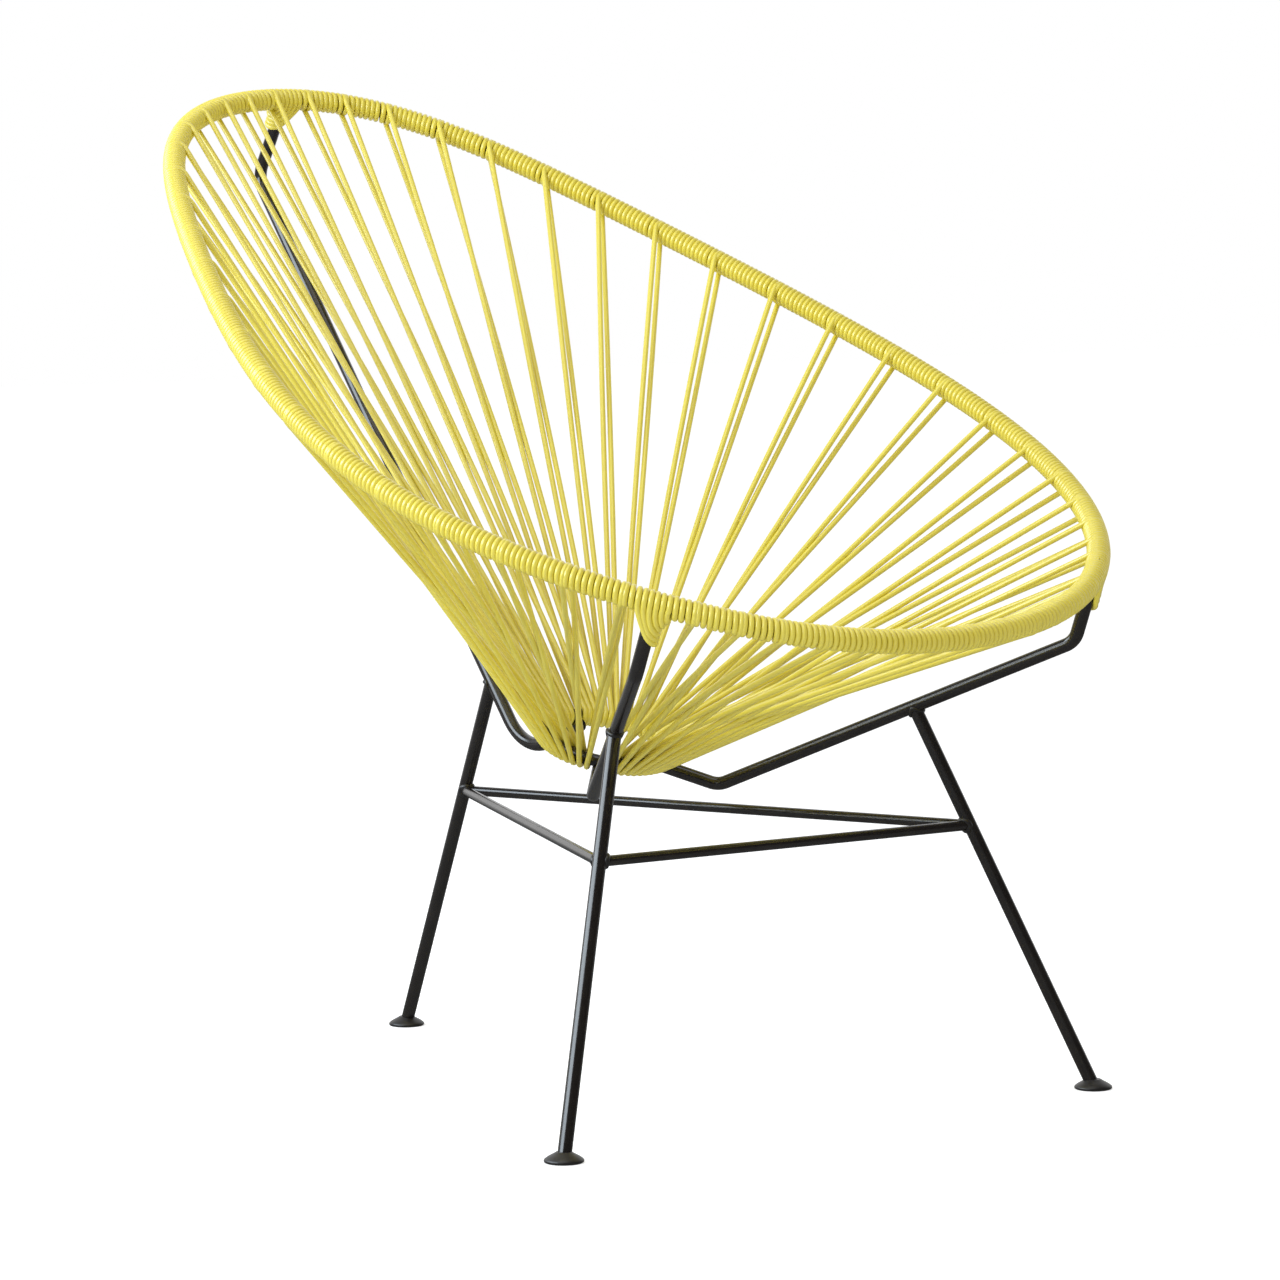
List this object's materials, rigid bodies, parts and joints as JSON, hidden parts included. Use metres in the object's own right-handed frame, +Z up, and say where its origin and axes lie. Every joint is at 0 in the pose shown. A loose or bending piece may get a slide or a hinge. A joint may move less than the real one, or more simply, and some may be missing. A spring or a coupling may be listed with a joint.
{
  "type": "acapulco chair",
  "caption": "Low lounge chair on splayed rod legs, with a pear-shaped bucket seat strung in round cord between a wound rim hoop and a small seat ring.",
  "frame": {"origin": "on the floor, under the middle of the chair's bounding box", "axes": "+X to the sitter's left, -Y the way the sitter faces, +Z up"},
  "size_m": [0.7394, 1.059, 0.8867],
  "materials": {
    "cord": "glossy solid-coloured cord",
    "frame": "satin black powder coat",
    "foot": "satin black powder coat"
  },
  "bodies": {
    "root": {"rim_hoop": "frame", "seat_ring": "frame", "strut_back": "frame", "strut_right": "frame", "strut_left": "frame", "leg_back": "frame", "leg_right": "frame", "leg_left": "frame", "stretcher_left_right": "frame", "stretcher_right_back": "frame", "stretcher_back_left": "frame", "foot_back": "foot", "foot_right": "foot", "foot_left": "foot", "cord_panel_01": "cord", "cord_panel_02": "cord", "cord_panel_03": "cord", "cord_panel_04": "cord", "cord_panel_05": "cord", "cord_panel_06": "cord", "cord_panel_07": "cord", "cord_panel_08": "cord", "cord_panel_09": "cord", "cord_panel_10": "cord", "cord_panel_11": "cord", "cord_panel_12": "cord", "cord_panel_13": "cord", "cord_panel_14": "cord", "cord_panel_15": "cord", "cord_panel_16": "cord", "cord_panel_17": "cord", "cord_panel_18": "cord", "cord_panel_19": "cord", "cord_panel_20": "cord", "cord_panel_21": "cord", "cord_panel_22": "cord", "cord_panel_23": "cord", "cord_panel_24": "cord"}
  },
  "joints": []
}
